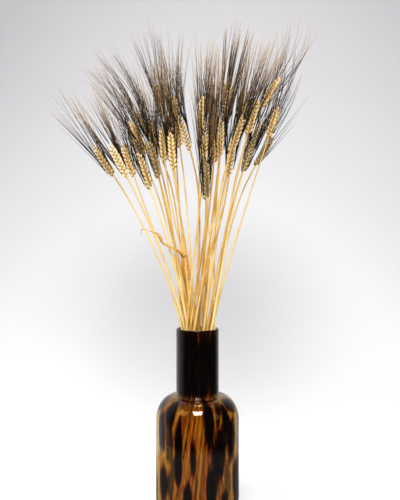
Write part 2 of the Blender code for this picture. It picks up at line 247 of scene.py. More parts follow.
class Stalk:
    """One stalk's middle line from foot to ear, its ear's axes, and each awn as (root, tip)."""

    def __init__(self, name, solid):
        self.name = name
        self.number = name[-2:]
        self.points = []
        self.joined = []
        places = {}
        spots = []
        for vertex in solid.data.vertices:
            key = tuple(round(value, 6) for value in vertex.co)
            if key not in places:
                places[key] = len(self.points)
                self.points.append(vertex.co.copy())
                self.joined.append(set())
            spots.append(places[key])
        for edge in solid.data.edges:
            start, end = (spots[k] for k in edge.vertices)
            self.joined[start].add(end)
            self.joined[end].add(start)
        self.line = self.middle_line()
        self.neck = self.line[-1]
        self.awns = self.find_awns()
        self.find_axes()

    def middle_line(self):
        """The centres of the straw's rings of four points, from its foot to its ear's first spikelet."""
        free = list(self.points)
        if self.name == LEAF_STALK:
            # The points of the dried leaf, and of its joint with the straw, are none of its rings.
            low, high = LEAF_HEIGHTS
            free = [point for point in free if not (point.x < LEAF_BEYOND_X and low < point.z < high)
                    and (point - LEAF_ROOT).length > LEAF_JOINT_REACH]
        here = min(free, key=lambda point: point.z)
        centres = []
        for _ in range(STRAW_RINGS):
            first = min(free, key=lambda point: (point - here).length)
            ring = sorted(free, key=lambda point: (point - first).length)[:SOLID_SIDES]
            free = [point for point in free if point not in ring]
            here = sum(ring, Vector()) / SOLID_SIDES
            centres.append(here)
        return centres

    def find_awns(self):
        """An awn's tip is joined to four points alone, all far off, and its root is between them."""
        awns = []
        for tip, near in enumerate(self.joined):
            roots = [self.points[spot] for spot in near]
            shortest = min((self.points[tip] - root).length for root in roots)
            if len(roots) == SOLID_SIDES and shortest > AWN_AT_LEAST:
                awns.append((sum(roots, Vector()) / SOLID_SIDES, self.points[tip]))
        return awns

    def find_axes(self):
        """The ear's own way, the direction of its two rows and the direction that its face looks."""
        top = max(self.awns, key=lambda awn: (awn[0] - self.neck).length)[0]
        self.way = (top - self.neck).normalized()
        offsets = []
        for root, _ in self.awns:
            reach = root - self.neck
            offsets.append(reach - reach.project(self.way))
        self.row = max(offsets, key=lambda offset: offset.length).normalized()
        self.face = self.way.cross(self.row)


stalks = [Stalk(name, solid) for name, solid in sorted(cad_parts.items()) if name.startswith("wheat_")]


# Straws
# Each stalk stands on a dry wheat straw, a thin cane with a waxy skin and fine ribs along it, grown in one
# piece with a swollen joint low down. The sheath of its top leaf still hugs it up to an edge, and it goes
# on as the core of its ear. Its foot stops just short of the vase's floor.
STRAW_RADIUS = (1.62 * MM, 1.25 * MM)
TAPER_RINGS = 20
LOW_RINGS = (0.0, 0.2, 0.4, 0.6, 0.8, 0.92)
CORE_LENGTH = 47 * MM
CORE_RADIUS = 0.7 * MM
CORE_RINGS = 5
CORE_FOOT = 1.4
CORE_TAPER = 0.1
JOINT_HEIGHTS = (62 * MM, 150 * MM)
JOINT_SWELL = 1.45
JOINT_HALF_LENGTH = 4 * MM
JOINT_RINGS = (-2, -1, 0, 1, 2)
SHEATH_TOPS = (335 * MM, 475 * MM)
SHEATH_THICKNESS = 0.5 * MM
SHEATH_EDGE = 0.03
FOOT_LIFT = 0.3 * MM
STRAW_STEP = 4 * MM
STRAW_SIDES = 9


def new_shape_tree(name, **sizes):
    """Returns a geometry tree with its named sizes, and its group input's node."""
    tree = bpy.data.node_groups.new(name, "GeometryNodeTree")
    tree.interface.new_socket("Geometry", in_out="INPUT", socket_type="NodeSocketGeometry")
    tree.interface.new_socket("Geometry", in_out="OUTPUT", socket_type="NodeSocketGeometry")
    for label, value in sizes.items():
        kind = "NodeSocketInt" if isinstance(value, int) else "NodeSocketFloat"
        tree.interface.new_socket(label, in_out="INPUT", socket_type=kind).default_value = value
    return tree, tree.nodes.new("NodeGroupInput")


def finish_tree(tree, shape, finish):
    """Ends a geometry tree: copies made real, smooth shading and the material."""
    real = add(tree, "GeometryNodeRealizeInstances", {0: shape}).outputs[0]
    smooth = add(tree, "GeometryNodeSetShadeSmooth", {0: real}).outputs[0]
    painted = add(tree, "GeometryNodeSetMaterial", {"Geometry": smooth, "Material": finish}).outputs[0]
    add(tree, "NodeGroupOutput", {0: painted})


def set_out(name, places, edges, values, tree):
    """Adds an object of points or lines with their values, which a geometry tree turns to the piece."""
    mesh = bpy.data.meshes.new(name)
    mesh.from_pydata(places, edges, [])
    for label, column in values.items():
        flat = np.ravel(np.array(column, dtype=np.float32))
        kind, field = ("FLOAT", "value") if len(flat) == len(places) else ("FLOAT_VECTOR", "vector")
        mesh.attributes.new(label, kind, "POINT").data.foreach_set(field, flat)
    piece = add_object(name, mesh)
    piece.modifiers.new(tree.name, "NODES").node_group = tree
    return piece


def make_plain(pieces):
    """Turns what the modifiers make of each piece into its own plain mesh."""
    bpy.context.view_layer.update()
    depsgraph = bpy.context.evaluated_depsgraph_get()
    meshes = []
    for piece in pieces:
        meshes.append(bpy.data.meshes.new_from_object(piece.evaluated_get(depsgraph),
                                                      preserve_all_data_layers=True, depsgraph=depsgraph))
    for piece, mesh in zip(pieces, meshes):
        piece.modifiers.clear()
        piece.data = mesh


# Dry straw: a waxy, half-glossy skin over pale gold fibre. The streaks that run along it are drawn
# three times as broad as the real fibres, so that they show. No two straws share their streaks.
STRAW_FIBRE = 0.5 * MM
STRAW_STREAK = 70 * MM
STRAW_SHIFT = 37.0
STRAW_BASE = -0.16
FIBRE_SHARE = 0.8
STAIN_SHARE = 0.38
TONE_SHARE = 0.32
straw_finish, tree, surface = new_finish("dry_straw")
around = add(tree, "ShaderNodeAttribute", attribute_name="section").outputs["Vector"]
along = add(tree, "ShaderNodeAttribute", attribute_name="along").outputs["Fac"]
tone = add(tree, "ShaderNodeAttribute", attribute_name="tone").outputs["Fac"]
spot = add(tree, "ShaderNodeSeparateXYZ", {0: around})
across_scale = STRAW_RADIUS[1] / STRAW_FIBRE
fibre_x, fibre_y = (add(tree, "ShaderNodeMath", {0: side, 1: across_scale}, operation="MULTIPLY").outputs[0]
                    for side in spot.outputs[:2])
shift = add(tree, "ShaderNodeMath", {0: tone, 1: STRAW_SHIFT}, operation="MULTIPLY").outputs[0]
fibre_z = add(tree, "ShaderNodeMath", {0: along, 1: 1 / STRAW_STREAK, 2: shift},
              operation="MULTIPLY_ADD").outputs[0]
fibre_place = add(tree, "ShaderNodeCombineXYZ", {0: fibre_x, 1: fibre_y, 2: fibre_z}).outputs[0]
fibre = add(tree, "ShaderNodeTexNoise", {
    "Vector": fibre_place, "Scale": 1.0, "Detail": 3.0, "Roughness": 0.6}).outputs[0]
stain_place = add(tree, "ShaderNodeCombineXYZ", {0: shift, 1: 0.0, 2: fibre_z}).outputs[0]
stain = add(tree, "ShaderNodeTexNoise", {"Vector": stain_place, "Scale": 2.2, "Detail": 2.0}).outputs[0]
mixed = STRAW_BASE
for part, share in ((fibre, FIBRE_SHARE), (stain, STAIN_SHARE), (tone, TONE_SHARE)):
    mixed = add(tree, "ShaderNodeMath", {0: part, 1: share, 2: mixed}, operation="MULTIPLY_ADD").outputs[0]
shade = add(tree, "ShaderNodeValToRGB", {0: mixed},
            stops=((0.3, "#7e501c"), (0.43, "#c08c38"), (0.58, "#deb45e"), (0.78, "#f2d894")))
tree.links.new(shade.outputs[0], surface.inputs["Base Color"])
ribs = add(tree, "ShaderNodeBump", {"Height": fibre, "Strength": 0.35, "Distance": 0.15 * MM})
tree.links.new(ribs.outputs[0], surface.inputs["Normal"])
surface.inputs["Roughness"].default_value = 0.42
surface.inputs["IOR"].default_value = 1.48
surface.inputs["Specular IOR Level"].default_value = 0.55

tree, inputs = new_shape_tree("straw", Step=STRAW_STEP, Sides=STRAW_SIDES)
line = add(tree, "GeometryNodeMeshToCurve", {0: inputs.outputs["Geometry"]}).outputs[0]
line = add(tree, "GeometryNodeCurveSplineType", {0: line}, spline_type="CATMULL_ROM").outputs[0]
line = add(tree, "GeometryNodeResampleCurve", {"Curve": line, "Length": inputs.outputs["Step"]},
           mode="LENGTH").outputs[0]
thickness = add(tree, "GeometryNodeInputNamedAttribute", {"Name": "thickness"}, data_type="FLOAT").outputs[0]
length = add(tree, "GeometryNodeSplineParameter").outputs["Length"]
line = add(tree, "GeometryNodeStoreNamedAttribute", {"Geometry": line, "Name": "along", "Value": length},
           data_type="FLOAT", domain="POINT").outputs[0]
ring = add(tree, "GeometryNodeCurvePrimitiveCircle", {
    "Resolution": inputs.outputs["Sides"], "Radius": 1.0}).outputs[0]
spot = add(tree, "GeometryNodeInputPosition").outputs[0]
ring = add(tree, "GeometryNodeStoreNamedAttribute", {"Geometry": ring, "Name": "section", "Value": spot},
           data_type="FLOAT_VECTOR", domain="POINT").outputs[0]
cane = add(tree, "GeometryNodeCurveToMesh", {
    "Curve": line, "Profile Curve": ring, "Scale": thickness, "Fill Caps": True}).outputs[0]
finish_tree(tree, cane, straw_finish)
straw_tree = tree

straws = []
for stalk in stalks:
    draw = random.Random(f"straw {stalk.number}")
    joint = draw.uniform(*JOINT_HEIGHTS)
    sheath_top = draw.uniform(*SHEATH_TOPS)
    foot, mouth = stalk.line[0] + Vector((0, 0, FOOT_LIFT)), stalk.line[1]
    at_joint = (joint - foot.z) / (mouth.z - foot.z)
    half = JOINT_HALF_LENGTH / (mouth.z - foot.z)
    heights = sorted([h for h in LOW_RINGS if abs(h - at_joint) > 3 * half]
                     + [at_joint + step * half for step in JOINT_RINGS])
    places = [foot.lerp(mouth, h) for h in heights]
    thick = [STRAW_RADIUS[0] * (JOINT_SWELL if h == at_joint else 1) + SHEATH_THICKNESS for h in heights]
    for start, end in zip(stalk.line[1:], stalk.line[2:]):
        radius = STRAW_RADIUS[0] + (STRAW_RADIUS[1] - STRAW_RADIUS[0]) * len(places) / TAPER_RINGS
        if start.z < sheath_top < end.z:
            h = (sheath_top - start.z) / (end.z - start.z)
            places += [start, start.lerp(end, h), start.lerp(end, min(1, h + SHEATH_EDGE))]
            thick += [radius + SHEATH_THICKNESS, radius + SHEATH_THICKNESS, radius]
        else:
            places.append(start)
            thick.append(radius + (SHEATH_THICKNESS if start.z < sheath_top else 0))
    places.append(stalk.neck)
    thick.append(STRAW_RADIUS[1])
    for k in range(1, CORE_RINGS + 1):
        places.append(stalk.neck + stalk.way * CORE_LENGTH * k / CORE_RINGS)
        thick.append(CORE_RADIUS * (CORE_FOOT - CORE_TAPER * k))
    edges = [(k, k + 1) for k in range(len(places) - 1)]
    values = {"thickness": thick, "tone": [draw.random()] * len(places)}
    straws.append(set_out(f"straw_{stalk.number}", places, edges, values, straw_tree))
make_plain(straws)
for stalk, piece in zip(stalks, straws):
    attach(piece, "root")
    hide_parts(stalk.name)


# Ears
# An ear is two rows of spikelets set in turn on the straw's end, each a fan of three hard husked
# grains between two shorter, sharp-keeled scales. Dry husks are golden with ribs, with painted shade at their
# feet and a painted highlight above their middle.
SPIKELETS = 16
SPIKELET_PITCH = 3.1 * MM
FIRST_SPIKELET = 0.6 * MM
CORE_OFFSET = 0.8 * MM
SPIKELET_TILT = math.radians(30)
TILT_STRAY = 2.5
FULLEST_AT = 0.4
FULL_SPAN = 1.3
FULLNESS = 2.4
EAR_SLIM_ENDS = 0.42
GRAIN_LENGTH = 11.2 * MM
GRAIN_WIDTH = 1.5 * MM
GRAIN_DEPTH = 1.2 * MM
GRAIN_OFFSET = 1.55 * MM
GRAIN_KEEL = 0.45
GRAIN_SPLAY = math.radians(9)
SPLAY_STRAY = 3
GRAIN_SIZES = (0.93, 1.04)
GRAIN_TONES = (-0.18, 0.18)
MIDDLE_GRAIN = 0.85
MIDDLE_LIFT = 1 * MM
BEAK_PLACE = 0.97
SCALE_LENGTH = 7.2 * MM
SCALE_WIDTH = 1.25 * MM
SCALE_DEPTH = 0.5 * MM
SCALE_OFFSET = 1.9
SCALE_BACK = 0.5 * MM
SCALE_KEEL = 0.6
SCALE_SPLAY = GRAIN_SPLAY + math.radians(6)
SCALE_SIZES = (0.95, 1.05)
SCALE_TONES = (-0.2, 0.1)
# Ears by their stalk's number: the golden ones, the dull ones and the slim ones. The rest are dark.
GOLDEN = (2, 3, 4, 9, 10, 11, 12, 14, 15, 17, 19, 24, 25, 28)
GOLDEN_TONE = 0.95
DULL = (1, 5, 7, 8, 13, 20, 21, 22, 23, 27)
DULL_TONE = 0.62
DARK_TONE = 0.2
SLIM = (14, 15, 16, 28)
SLIM_SHARE = 0.82


def husk(name, length, width, depth, keel, rings=7, sides=8):
    """A pointed boat of a husk along Z, with its keel towards X, from a formula for each ring."""
    places = [(0, 0, 0)]
    along = [0.0]
    rib = [0.5]
    for k in range(1, rings):
        t = k / rings
        # It is fullest near its middle, bows out to its keel's side and leans back at its beak.
        swell = math.sin(math.pi * t ** 0.85) ** 0.7 * (1 - 0.35 * t ** 3)
        arch = 0.5 * depth * math.sin(math.pi * t) - 0.6 * depth * t * t
        for j in range(sides):
            turn = 2 * math.pi * j / sides
            out = math.cos(turn)
            outward = out * (1 + keel * out ** 4) if out > 0 else out * 0.7
            places.append((depth * swell * outward + arch, width * swell * math.sin(turn), length * t))
            along.append(t)
            rib.append(0.5 + 0.5 * out)
    places.append((-0.6 * depth, 0, length))
    along.append(1.0)
    rib.append(0.5)
    faces = [(0, 1 + (j + 1) % sides, 1 + j) for j in range(sides)]
    for k in range(rings - 2):
        low, high = 1 + k * sides, 1 + (k + 1) * sides
        faces += [(low + j, low + (j + 1) % sides, high + (j + 1) % sides, high + j) for j in range(sides)]
    last = 1 + (rings - 2) * sides
    faces += [(last + j, last + (j + 1) % sides, len(places) - 1) for j in range(sides)]
    mesh = bpy.data.meshes.new(name)
    mesh.from_pydata(places, [], faces)
    for label, column in (("along", along), ("rib", rib)):
        mesh.attributes.new(label, "FLOAT", "POINT").data.foreach_set("value", column)
    return bpy.data.objects.new(name, mesh)


grain = husk("grain", GRAIN_LENGTH, GRAIN_WIDTH, GRAIN_DEPTH, 0.25)
scale = husk("scale", SCALE_LENGTH, SCALE_WIDTH, SCALE_DEPTH, 0.8, rings=5, sides=6)

# Dry husk: hard and papery, with a dull shine. Each is gold with pale ribs and drawn out to a dark beak that
# its awn goes on from. Its foot, where the next husk overlaps it, is darkened with painted shade, and a pale
# band above its middle is a painted highlight.
HUSK_SPECK = 1.6 * MM
HUSK_RIBS = 17.0
RIB_SHARE = 0.08
SPECK_SHARE = 0.4
HUSK_TONE_SHARE = 0.85
husk_finish, tree, surface = new_finish("dry_husk")
along, rib, tone = (add(tree, "ShaderNodeAttribute", attribute_name=label).outputs["Fac"]
                    for label in ("along", "rib", "tone"))
place = add(tree, "ShaderNodeTexCoord").outputs["Object"]
speck = add(tree, "ShaderNodeTexNoise", {"Vector": place, "Scale": 1 / HUSK_SPECK, "Detail": 3.0}).outputs[0]
# Along each husk: painted shade at its foot, a painted highlight above its middle, then its own dark beak.
body = add(tree, "ShaderNodeValToRGB", {0: along}, stops=(
    (0.0, "#704618"), (0.18, "#ba863a"), (0.4, "#e8be70"),
    (0.66, "#fbe6ac"), (0.88, "#e4b462"), (1.0, "#805622"))).outputs[0]
wave = add(tree, "ShaderNodeMath", {0: rib, 1: HUSK_RIBS}, operation="MULTIPLY").outputs[0]
wave = add(tree, "ShaderNodeMath", {0: wave}, operation="SINE").outputs[0]
light = RIB_SHARE
for part, share in ((wave, RIB_SHARE), (speck, SPECK_SHARE), (tone, HUSK_TONE_SHARE)):
    light = add(tree, "ShaderNodeMath", {0: part, 1: share, 2: light}, operation="MULTIPLY_ADD").outputs[0]
shade = add(tree, "ShaderNodeVectorMath", {0: body, "Scale": light}, operation="SCALE").outputs[0]
tree.links.new(shade, surface.inputs["Base Color"])
ribbed = add(tree, "ShaderNodeBump", {"Height": wave, "Strength": 0.4, "Distance": 0.12 * MM})
tree.links.new(ribbed.outputs[0], surface.inputs["Normal"])
surface.inputs["Roughness"].default_value = 0.5
surface.inputs["IOR"].default_value = 1.48

tree, inputs = new_shape_tree("ear")
out, keel, size, is_scale = (
    add(tree, "GeometryNodeInputNamedAttribute", {"Name": label}, data_type=kind).outputs[0]
    for label, kind in (("out", "FLOAT_VECTOR"), ("keel", "FLOAT_VECTOR"),
                        ("size", "FLOAT"), ("is_scale", "FLOAT")))
is_grain = add(tree, "ShaderNodeMath", {0: 1.0, 1: is_scale}, operation="SUBTRACT").outputs[0]
turned = add(tree, "FunctionNodeAxesToRotation", {0: out, 1: keel},
             primary_axis="Z", secondary_axis="X").outputs[0]
joined = add(tree, "GeometryNodeJoinGeometry")
for shape, chosen in ((grain, is_grain), (scale, is_scale)):
    source = add(tree, "GeometryNodeObjectInfo", {"Object": shape}).outputs["Geometry"]
    copies = add(tree, "GeometryNodeInstanceOnPoints", {
        "Points": inputs.outputs["Geometry"], "Selection": chosen, "Instance": source,
        "Rotation": turned, "Scale": size})
    tree.links.new(copies.outputs[0], joined.inputs[0])
finish_tree(tree, joined.outputs[0], husk_finish)
ear_tree = tree


def tilted(way, towards, angle):
    """A direction turned from one way towards another that is square to it."""
    return way * math.cos(angle) + towards * math.sin(angle)


def add_row(values, row):
    """Adds one point's row to the columns of values."""
    for column, value in zip(values.values(), row):
        column.append(value)


ears = []
for stalk in stalks:
    draw = random.Random(f"ear {stalk.number}")
    number = int(stalk.number)
    ear_tone = GOLDEN_TONE if number in GOLDEN else DULL_TONE if number in DULL else DARK_TONE
    slim = SLIM_SHARE if number in SLIM else 1
    values = {"out": [], "keel": [], "size": [], "is_scale": [], "tone": []}
    places = []
    stalk.tips = []
    for n in range(SPIKELETS + 1):
        side = -1 if n % 2 == 0 else 1
        top = n == SPIKELETS
        off = abs(2 * (n - FULLEST_AT * SPIKELETS) / (FULL_SPAN * SPIKELETS))
        size = 1 - EAR_SLIM_ENDS * off ** FULLNESS
        tilt = 0 if top else slim * SPIKELET_TILT + math.radians(draw.uniform(-TILT_STRAY, TILT_STRAY))
        outward = stalk.row * side
        root = stalk.neck + stalk.way * (FIRST_SPIKELET + n * SPIKELET_PITCH)
        root += outward * CORE_OFFSET * (0 if top else 1)
        mid = tilted(stalk.way, outward, tilt)
        back = tilted(outward, -stalk.way, tilt)
        for lean in (-1, 0, 1):
            splay = lean * GRAIN_SPLAY + math.radians(draw.uniform(-SPLAY_STRAY, SPLAY_STRAY))
            out = tilted(mid, stalk.face, splay)
            keel = (back * (GRAIN_KEEL if lean else 1) + stalk.face * lean).normalized()
            place = root + out * (0 if lean else MIDDLE_LIFT) + stalk.face * lean * GRAIN_OFFSET
            grain_size = size * draw.uniform(*GRAIN_SIZES) * (1 if lean else MIDDLE_GRAIN)
            grain_tone = min(1, max(0, ear_tone + draw.uniform(*GRAIN_TONES)))
            places.append(place)
            add_row(values, (out, keel, grain_size, 0.0, grain_tone))
            stalk.tips.append((place + out * GRAIN_LENGTH * grain_size * BEAK_PLACE, side, lean))
        for lean in (-1, 1):
            out = tilted(mid, stalk.face, lean * SCALE_SPLAY)
            keel = (back * SCALE_KEEL + stalk.face * lean).normalized()
            scale_size = size * draw.uniform(*SCALE_SIZES)
            scale_tone = min(1, max(0, ear_tone + draw.uniform(*SCALE_TONES)))
            places.append(root + stalk.face * lean * SCALE_OFFSET * MM + back * SCALE_BACK)
            add_row(values, (out, keel, scale_size, 1.0, scale_tone))
    ears.append(set_out(f"ear_{stalk.number}", places, [], values, ear_tree))
make_plain(ears)
for shape in (grain, scale):
    bpy.data.objects.remove(shape)
for stalk, piece in zip(stalks, ears):
    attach(piece, "root")
    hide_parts(stalk.name)


# Awns
# From the beak of every grain goes a long stiff bristle, its awn. It is near black at its root,
# browner and paler as it thins out, and the awns of an ear stand in a narrow brush.
AWN_STEPS = 11
AWN_SIDES = 3
AWN_RADIUS = (0.52 * MM, 0.14 * MM)
AWN_THICKNESSES = (0.7, 1.25)
AWN_LENGTHS = (0.84, 1.0)
AWN_SHARE = 0.82
AWN_SUNK = 1 * MM
AWN_STRAY = math.radians(3.2)
AWN_BENDS = (-0.01, 0.04)
BEND_BACK = 0.6
MIDDLE_AWN_LENGTHS = (0.55, 0.9)
MIDDLE_AWN_SHARE = 0.55
NEAREST_SHARE = 0.7
OTHER_ROW = 50 * MM
# Ears by their stalk's number, where the awns sweep aside, bend upright, are tan, bundled or fewer.
SWEPT_EARS = (7, 29, 30)
SWEPT_WAY = (-1, 0, -0.1)
SWEPT_BEND = 0.34
SWEPT_SHARES = (0.2, 1)
SWEPT_LENGTH = 1.2
UPRIGHT_BENDS = {14: 0.36, 15: 0.62, 16: 0.1, 18: 0.3, 33: 0.34}
UPRIGHT_WAY = (-0.6, 0, 0.4)
UPRIGHT_SHARES = (0.5, 1)
TAN_AWNS = (2, 9, 15, 17, 19, 24, 25, 28, 34)
TAN_TONE = 0.8
BLACK_TONES = (0, 0.3)
AWN_TONES = (-0.2, 0.3)
BUNDLED = (22, 30, 35)
BUNDLE_PULL = 0.6
BUNDLE_STRAY = 0.5
BUNDLE_THICKNESS = 1.25
THINNED = {1: 0.65, 3: 0.65, 4: 0.6, 5: 0.6, 6: 0.7, 13: 0.55, 14: 0.6, 15: 0.5, 16: 0.35, 29: 0.22, 30: 0.35}

# Dry awn: a rough, three-edged bristle with a dull shine, near black to grey-brown.
awn_finish, tree, surface = new_finish("dry_awn")
along = add(tree, "ShaderNodeAttribute", attribute_name="along").outputs["Fac"]
tone = add(tree, "ShaderNodeAttribute", attribute_name="tone").outputs["Fac"]
black = add(tree, "ShaderNodeValToRGB", {0: along}, stops=(
    (0.0, "#2a1a0c"), (0.06, "#0d0805"), (0.5, "#22170e"), (0.8, "#5a432e"), (1.0, "#a08260"))).outputs[0]
brown = add(tree, "ShaderNodeValToRGB", {0: along}, stops=(
    (0.0, "#5a3c1c"), (0.06, "#241507"), (0.45, "#553a1e"), (0.75, "#96713e"), (1.0, "#d8b278"))).outputs[0]
shade = add(tree, "ShaderNodeMix", {0: tone, 6: black, 7: brown}, data_type="RGBA").outputs[2]
tree.links.new(shade, surface.inputs["Base Color"])
surface.inputs["Roughness"].default_value = 0.6
surface.inputs["Specular IOR Level"].default_value = 0.25

tree, inputs = new_shape_tree("awns", Steps=AWN_STEPS, Sides=AWN_SIDES)
root = add(tree, "GeometryNodeInputPosition").outputs[0]
rooted = add(tree, "GeometryNodeStoreNamedAttribute",
             {"Geometry": inputs.outputs["Geometry"], "Name": "root", "Value": root},
             data_type="FLOAT_VECTOR", domain="POINT").outputs[0]
bristle = add(tree, "GeometryNodeCurvePrimitiveLine", {"Start": (0, 0, 0), "End": (0, 0, 1)}).outputs[0]
bristle = add(tree, "GeometryNodeResampleCurve", {"Curve": bristle, "Count": inputs.outputs["Steps"]},
              mode="COUNT").outputs[0]
factor = add(tree, "GeometryNodeSplineParameter").outputs["Factor"]
bristle = add(tree, "GeometryNodeStoreNamedAttribute",
              {"Geometry": bristle, "Name": "along", "Value": factor},
              data_type="FLOAT", domain="POINT").outputs[0]
copies = add(tree, "GeometryNodeInstanceOnPoints", {"Points": rooted, "Instance": bristle}).outputs[0]
real = add(tree, "GeometryNodeRealizeInstances", {0: copies}).outputs[0]
root, reach, bow, along, thickness = (
    add(tree, "GeometryNodeInputNamedAttribute", {"Name": label}, data_type=kind).outputs[0]
    for label, kind in (("root", "FLOAT_VECTOR"), ("reach", "FLOAT_VECTOR"), ("bow", "FLOAT_VECTOR"),
                        ("along", "FLOAT"), ("thickness", "FLOAT")))
ahead = add(tree, "ShaderNodeVectorMath", {0: reach, "Scale": along}, operation="SCALE").outputs[0]
bent = add(tree, "ShaderNodeMath", {0: along, 1: along}, operation="MULTIPLY").outputs[0]
bent = add(tree, "ShaderNodeVectorMath", {0: bow, "Scale": bent}, operation="SCALE").outputs[0]
spot = add(tree, "ShaderNodeVectorMath", {0: root, 1: ahead}, operation="ADD").outputs[0]
spot = add(tree, "ShaderNodeVectorMath", {0: spot, 1: bent}, operation="ADD").outputs[0]
laid = add(tree, "GeometryNodeSetPosition", {"Geometry": real, "Position": spot}).outputs[0]
thin = add(tree, "ShaderNodeMapRange", {
    "Value": along, "To Min": AWN_RADIUS[0], "To Max": AWN_RADIUS[1]}).outputs[0]
thin = add(tree, "ShaderNodeMath", {0: thin, 1: thickness}, operation="MULTIPLY").outputs[0]
ring = add(tree, "GeometryNodeCurvePrimitiveCircle", {
    "Resolution": inputs.outputs["Sides"], "Radius": 1.0}).outputs[0]
bristles = add(tree, "GeometryNodeCurveToMesh", {
    "Curve": laid, "Profile Curve": ring, "Scale": thin, "Fill Caps": True}).outputs[0]
finish_tree(tree, bristles, awn_finish)
awn_tree = tree


def stray(way, draw, angle):
    """A direction that is drawn at random, up to an angle from the one given."""
    side = way.orthogonal().normalized()
    side.rotate(Matrix.Rotation(draw.uniform(0, 2 * math.pi), 3, way))
    return tilted(way, side, angle * math.sqrt(draw.random()))


brushes = []
for stalk in stalks:
    draw = random.Random(f"awns {stalk.number}")
    number = int(stalk.number)
    ear_tone = TAN_TONE if number in TAN_AWNS else draw.uniform(*BLACK_TONES)
    share = THINNED.get(number, AWN_SHARE)
    bundled = number in BUNDLED
    solid_awns = []
    for root, tip in stalk.awns:
        reach = root - stalk.neck
        solid_awns.append((reach.dot(stalk.way), reach.dot(stalk.row), tip - root))
    middle_way = sum((awn[2].normalized() for awn in solid_awns), Vector()).normalized()
    places = []
    values = {"reach": [], "bow": [], "thickness": [], "tone": []}
    for tip, side, lean in stalk.tips:
        if draw.random() > share * (1 if lean else MIDDLE_AWN_SHARE):
            continue
        # It takes its course from the solid's awn that is nearest along the ear, on its own row.
        height = (tip - stalk.neck).dot(stalk.way)
        rated = sorted(solid_awns, key=lambda awn:
                       abs(awn[0] - height) + (OTHER_ROW if awn[1] * side < 0 else 0))
        reach = rated[0 if draw.random() < NEAREST_SHARE else 1][2]
        length = reach.length * draw.uniform(*(AWN_LENGTHS if lean else MIDDLE_AWN_LENGTHS))
        way = reach.normalized()
        if bundled:
            way = way.lerp(middle_way, BUNDLE_PULL).normalized()
        way = stray(way, draw, AWN_STRAY * (BUNDLE_STRAY if bundled else 1))
        off = reach - reach.project(stalk.way)
        bend = off.normalized() * length * draw.uniform(*AWN_BENDS)
        if number in SWEPT_EARS:
            length *= SWEPT_LENGTH
            bend += Vector(SWEPT_WAY) * length * SWEPT_BEND * draw.uniform(*SWEPT_SHARES)
        if number in UPRIGHT_BENDS:
            bend += Vector(UPRIGHT_WAY) * length * draw.uniform(*UPRIGHT_SHARES) * UPRIGHT_BENDS[number]
        places.append(tip - way * AWN_SUNK)
        thickness = draw.uniform(*AWN_THICKNESSES) * (BUNDLE_THICKNESS if bundled else 1)
        tone = min(1, max(0, ear_tone + draw.uniform(*AWN_TONES)))
        add_row(values, (way * length - bend * BEND_BACK, bend, thickness, tone))
    brushes.append(set_out(f"awns_{stalk.number}", places, [], values, awn_tree))
make_plain(brushes)
for stalk, piece in zip(stalks, brushes):
    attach(piece, "root")
    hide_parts(stalk.name)


# Dried leaf
# One stalk keeps its last leaf. Its sheath hugs the straw, and its blade has dried into a thin curled
# roll that knots once, then thins out and hooks down at its tip.
SHEATH_LENGTH = 44 * MM
SHEATH_RADIUS = 3.3 * MM
SHEATH_RINGS = 10
SHEATH_FLARE = 1.05
SHEATH_TAPER = 0.3
# Each point of the blade's route: x, y, z and the roll's radius, in millimetres.
LEAF_ROUTE = (
    (-24, -36, 418.5, 3.0), (-30, -42, 424, 2.5), (-41, -49, 429.5, 1.8), (-52, -54, 435.5, 1.3),
    (-56.5, -56, 444.6, 2.5), (-60.5, -56.5, 449.5, 1.5), (-71.5, -56, 453.6, 0.85),
    (-80, -54, 456.4, 0.75), (-84, -52, 456, 0.7), (-85.2, -50.6, 452, 0.6), (-85, -50, 447.6, 0.45),
)
LEAF_STEPS = 8
LEAF_SIDES = 12
LEAF_TWIST = math.radians(420)
ROLL_DEPTH = 0.45
ROLL_FLAT = (0.75, 1.15)


def smooth_route(points, steps):
    """A curve through the points, read at a number of steps between each two."""
    ends = [2 * points[0] - points[1], *points, 2 * points[-1] - points[-2]]
    route = []
    for k in range(1, len(ends) - 2):
        before, here, ahead, after = ends[k - 1:k + 3]
        for j in range(steps):
            t = j / steps
            route.append(0.5 * (2 * here + (ahead - before) * t
                                + (2 * before - 5 * here + 4 * ahead - after) * t ** 2
                                + (3 * here - before - 3 * ahead + after) * t ** 3))
    return route + [points[-1]]


def rolled_ring(middle, way, side, radius, turn):
    """A ring round the route: a flattened round with a groove where the blade's two edges meet."""
    across = side.cross(way).normalized()
    ring = []
    for j in range(LEAF_SIDES):
        around = 2 * math.pi * j / LEAF_SIDES
        groove = 1 - ROLL_DEPTH * max(0, math.cos(around)) ** 6
        x = radius * groove * math.cos(around) * ROLL_FLAT[0]
        y = radius * math.sin(around) * ROLL_FLAT[1]
        ring.append(middle + side * (x * math.cos(turn) - y * math.sin(turn))
                    + across * (x * math.sin(turn) + y * math.cos(turn)))
    return ring


def add_roll(places, faces, along, route, radii, twist):
    """Adds a closed roll that follows a route."""
    first = len(places)
    side = Vector((0, -1, 0))
    for k, middle in enumerate(route):
        way = (route[min(k + 1, len(route) - 1)] - route[max(k - 1, 0)]).normalized()
        side = (side - side.project(way)).normalized()
        part = k / (len(route) - 1)
        places += rolled_ring(middle, way, side, radii[k], twist * part)
        along += [part] * LEAF_SIDES
    for k in range(len(route) - 1):
        low, high = first + k * LEAF_SIDES, first + (k + 1) * LEAF_SIDES
        faces += [(low + j, low + (j + 1) % LEAF_SIDES, high + (j + 1) % LEAF_SIDES, high + j)
                  for j in range(LEAF_SIDES)]
    faces.append(tuple(range(first + LEAF_SIDES - 1, first - 1, -1)))
    faces.append(tuple(range(len(places) - LEAF_SIDES, len(places))))


